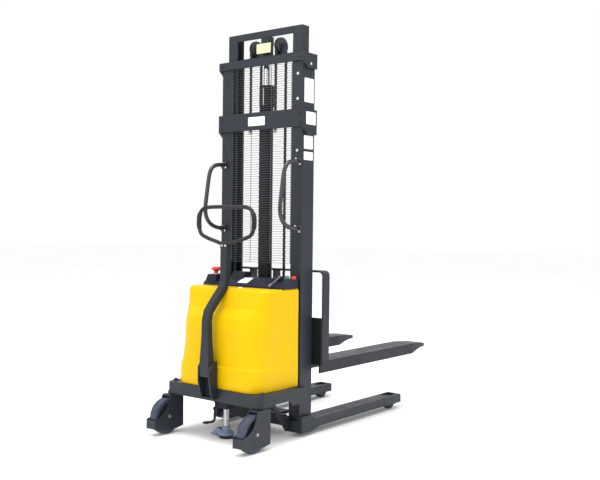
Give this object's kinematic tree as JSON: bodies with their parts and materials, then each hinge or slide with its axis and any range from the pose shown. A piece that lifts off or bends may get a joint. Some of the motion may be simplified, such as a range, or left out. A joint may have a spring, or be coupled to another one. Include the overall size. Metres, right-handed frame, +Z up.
{
  "type": "walkie stacker",
  "caption": "Pedestrian straddle stacker with a two-stage chain-lift mast, boxed forks, load backrest, moulded power-unit cover, tiller loop and swivel casters.",
  "frame": {"origin": "on the floor, below the middle of the bounding box", "axes": "+Z up, +Y towards the fork tips, +X to the right of an operator standing behind the tiller"},
  "size_m": [0.664, 1.675, 2.08],
  "materials": {
    "frame_paint": "satin dark grey powder coat",
    "cover_yellow": "gloss yellow moulded plastic",
    "black_plastic": "fine-grained black plastic",
    "black_rubber": "moulded black grip rubber",
    "chrome": "polished hard chrome",
    "steel": "machined steel",
    "chain_steel": "oiled leaf chain",
    "caster_nylon": "dark nylon tyre",
    "roller_polyurethane": "dark polyurethane tread",
    "red_plastic": "gloss red plastic",
    "green_plastic": "gloss green plastic",
    "lock_paint": "blue-grey paint",
    "battery_case": "matt battery case",
    "motor_paint": "semi-gloss motor paint"
  },
  "bodies": {
    "chassis": {"chassis_rear_beam": "frame_paint", "chassis_side_left": "frame_paint", "chassis_side_right": "frame_paint", "battery_tray": "frame_paint", "leg_left": "frame_paint", "leg_right": "frame_paint", "lower_cross_member": "frame_paint", "outer_column_left": "frame_paint", "outer_column_right": "frame_paint", "outer_crossbeam_top": "frame_paint", "outer_crossbeam_middle": "frame_paint", "mesh_guard_lower": "steel", "mesh_guard_upper": "steel", "grab_handle_left": "black_rubber", "grab_handle_right": "black_rubber", "cylinder_barrel": "frame_paint", "cover": "cover_yellow", "control_console": "black_plastic", "battery": "battery_case", "oil_tank": "frame_paint", "pump_motor": "motor_paint", "tiller_bracket": "frame_paint", "anchor_chain_left": "chain_steel", "anchor_chain_right": "chain_steel", "floor_lock_housing": "black_plastic"},
    "inner_mast": {"inner_column_left": "frame_paint", "inner_column_right": "frame_paint", "inner_top_beam": "frame_paint", "pulley_beam": "frame_paint", "piston_rod": "chrome"},
    "carriage": {"carriage_plate": "frame_paint", "carriage_side_left": "frame_paint", "carriage_side_right": "frame_paint", "fork_left": "frame_paint", "fork_right": "frame_paint", "load_backrest": "frame_paint", "lift_chain_left": "chain_steel", "lift_chain_right": "chain_steel"},
    "tiller": {"tiller_arm": "frame_paint", "tiller_loop": "black_rubber"},
    "pulley_left": {"pulley_left": "steel"},
    "pulley_right": {"pulley_right": "steel"},
    "mast_roller_left": {"mast_roller_left": "steel"},
    "mast_roller_right": {"mast_roller_right": "steel"},
    "carriage_roller_lower_left": {"carriage_roller_lower_left": "steel"},
    "carriage_roller_lower_right": {"carriage_roller_lower_right": "steel"},
    "carriage_roller_upper_left": {"carriage_roller_upper_left": "steel"},
    "carriage_roller_upper_right": {"carriage_roller_upper_right": "steel"},
    "caster_fork_left": {"caster_fork_left": "frame_paint"},
    "caster_fork_right": {"caster_fork_right": "frame_paint"},
    "caster_wheel_left": {"caster_wheel_left": "caster_nylon"},
    "caster_wheel_right": {"caster_wheel_right": "caster_nylon"},
    "load_roller_left": {"load_roller_left": "roller_polyurethane"},
    "load_roller_right": {"load_roller_right": "roller_polyurethane"},
    "emergency_stop": {"emergency_stop": "red_plastic"},
    "green_button": {"green_button": "green_plastic"},
    "red_button": {"red_button": "red_plastic"},
    "lift_lever": {"lift_lever": "steel"},
    "floor_lock_foot": {"floor_lock_foot": "lock_paint"},
    "floor_lock_pedal": {"floor_lock_pedal": "steel"}
  },
  "joints": [
    {"name": "inner_mast_lift", "type": "slide", "parent": "chassis", "child": "inner_mast", "axis": [0, 0, 1], "range_m": [-0.134, 1.16], "deforming": ["anchor_chain_left", "anchor_chain_right"]},
    {"name": "carriage_lift", "type": "slide", "parent": "inner_mast", "child": "carriage", "axis": [0, 0, 1], "range_m": [-0.134, 1.16], "deforming": ["lift_chain_left", "lift_chain_right"]},
    {"name": "pulley_spin_left", "type": "hinge", "parent": "inner_mast", "child": "pulley_left", "pos_m": [-0.085, -0.3015, 1.995], "axis": [1, 0, 0], "continuous": true},
    {"name": "mast_roller_spin_left", "type": "hinge", "parent": "inner_mast", "child": "mast_roller_left", "pos_m": [-0.2575, -0.3085, 0.264], "axis": [1, 0, 0], "continuous": true},
    {"name": "carriage_roller_lower_spin_left", "type": "hinge", "parent": "carriage", "child": "carriage_roller_lower_left", "pos_m": [-0.215, -0.3085, 0.372], "axis": [1, 0, 0], "continuous": true},
    {"name": "carriage_roller_upper_spin_left", "type": "hinge", "parent": "carriage", "child": "carriage_roller_upper_left", "pos_m": [-0.215, -0.3085, 0.612], "axis": [1, 0, 0], "continuous": true},
    {"name": "caster_swivel_left", "type": "hinge", "parent": "chassis", "child": "caster_fork_left", "pos_m": [-0.294, -0.6675, 0.199], "axis": [0, 0, 1], "continuous": true},
    {"name": "caster_wheel_spin_left", "type": "hinge", "parent": "caster_fork_left", "child": "caster_wheel_left", "pos_m": [-0.294, -0.7375, 0.09], "axis": [1, 0, 0], "continuous": true},
    {"name": "load_roller_spin_left", "type": "hinge", "parent": "chassis", "child": "load_roller_left", "pos_m": [-0.248, 0.5215, 0.038], "axis": [1, 0, 0], "continuous": true},
    {"name": "pulley_spin_right", "type": "hinge", "parent": "inner_mast", "child": "pulley_right", "pos_m": [0.085, -0.3015, 1.995], "axis": [1, 0, 0], "continuous": true},
    {"name": "mast_roller_spin_right", "type": "hinge", "parent": "inner_mast", "child": "mast_roller_right", "pos_m": [0.2575, -0.3085, 0.264], "axis": [1, 0, 0], "continuous": true},
    {"name": "carriage_roller_lower_spin_right", "type": "hinge", "parent": "carriage", "child": "carriage_roller_lower_right", "pos_m": [0.215, -0.3085, 0.372], "axis": [1, 0, 0], "continuous": true},
    {"name": "carriage_roller_upper_spin_right", "type": "hinge", "parent": "carriage", "child": "carriage_roller_upper_right", "pos_m": [0.215, -0.3085, 0.612], "axis": [1, 0, 0], "continuous": true},
    {"name": "caster_swivel_right", "type": "hinge", "parent": "chassis", "child": "caster_fork_right", "pos_m": [0.294, -0.6675, 0.199], "axis": [0, 0, 1], "continuous": true},
    {"name": "caster_wheel_spin_right", "type": "hinge", "parent": "caster_fork_right", "child": "caster_wheel_right", "pos_m": [0.294, -0.7375, 0.09], "axis": [1, 0, 0], "continuous": true},
    {"name": "load_roller_spin_right", "type": "hinge", "parent": "chassis", "child": "load_roller_right", "pos_m": [0.248, 0.5215, 0.038], "axis": [1, 0, 0], "continuous": true},
    {"name": "tiller_tilt", "type": "hinge", "parent": "chassis", "child": "tiller", "pos_m": [0, -0.7455, 0.34], "axis": [1, 0, 0], "range_deg": [0, 45], "stiffness_Nm_per_rad": 25, "springref_deg": -20.05},
    {"name": "emergency_stop_press", "type": "slide", "parent": "chassis", "child": "emergency_stop", "axis": [0, 0, 1], "range_m": [-0.006, 0], "stiffness_N_per_m": 900, "springref_m": 0.004},
    {"name": "green_button_press", "type": "slide", "parent": "chassis", "child": "green_button", "axis": [0, 0, 1], "range_m": [-0.004, 0], "stiffness_N_per_m": 500, "springref_m": 0.003},
    {"name": "red_button_press", "type": "slide", "parent": "chassis", "child": "red_button", "axis": [0, 0, 1], "range_m": [-0.004, 0], "stiffness_N_per_m": 500, "springref_m": 0.003},
    {"name": "lift_lever_tilt", "type": "hinge", "parent": "chassis", "child": "lift_lever", "pos_m": [0.207, -0.4405, 0.805], "axis": [1, 0, 0], "range_deg": [-8, 4], "stiffness_Nm_per_rad": 2.5, "springref_deg": -1.72},
    {"name": "floor_lock_pedal_tilt", "type": "hinge", "parent": "chassis", "child": "floor_lock_pedal", "pos_m": [-0.053, -0.6245, 0.14], "axis": [1, 0, 0], "range_deg": [-20, 0]},
    {"name": "floor_lock_slide", "type": "slide", "parent": "chassis", "child": "floor_lock_foot", "axis": [0, 0, 1], "range_m": [0, 0.035]}
  ],
  "couplings": [
    {"joint": "carriage_lift", "follows": "inner_mast_lift", "ratio": 1},
    {"joint": "pulley_spin_left", "follows": "inner_mast_lift", "rad_per_m": 24.39},
    {"joint": "mast_roller_spin_left", "follows": "inner_mast_lift", "rad_per_m": 26.6},
    {"joint": "carriage_roller_lower_spin_left", "follows": "inner_mast_lift", "rad_per_m": 53.76},
    {"joint": "carriage_roller_upper_spin_left", "follows": "inner_mast_lift", "rad_per_m": -53.76},
    {"joint": "pulley_spin_right", "follows": "inner_mast_lift", "rad_per_m": 24.39},
    {"joint": "mast_roller_spin_right", "follows": "inner_mast_lift", "rad_per_m": 26.6},
    {"joint": "carriage_roller_lower_spin_right", "follows": "inner_mast_lift", "rad_per_m": 53.76},
    {"joint": "carriage_roller_upper_spin_right", "follows": "inner_mast_lift", "rad_per_m": -53.76},
    {"joint": "floor_lock_slide", "follows": "floor_lock_pedal_tilt", "m_per_rad": -0.1}
  ]
}
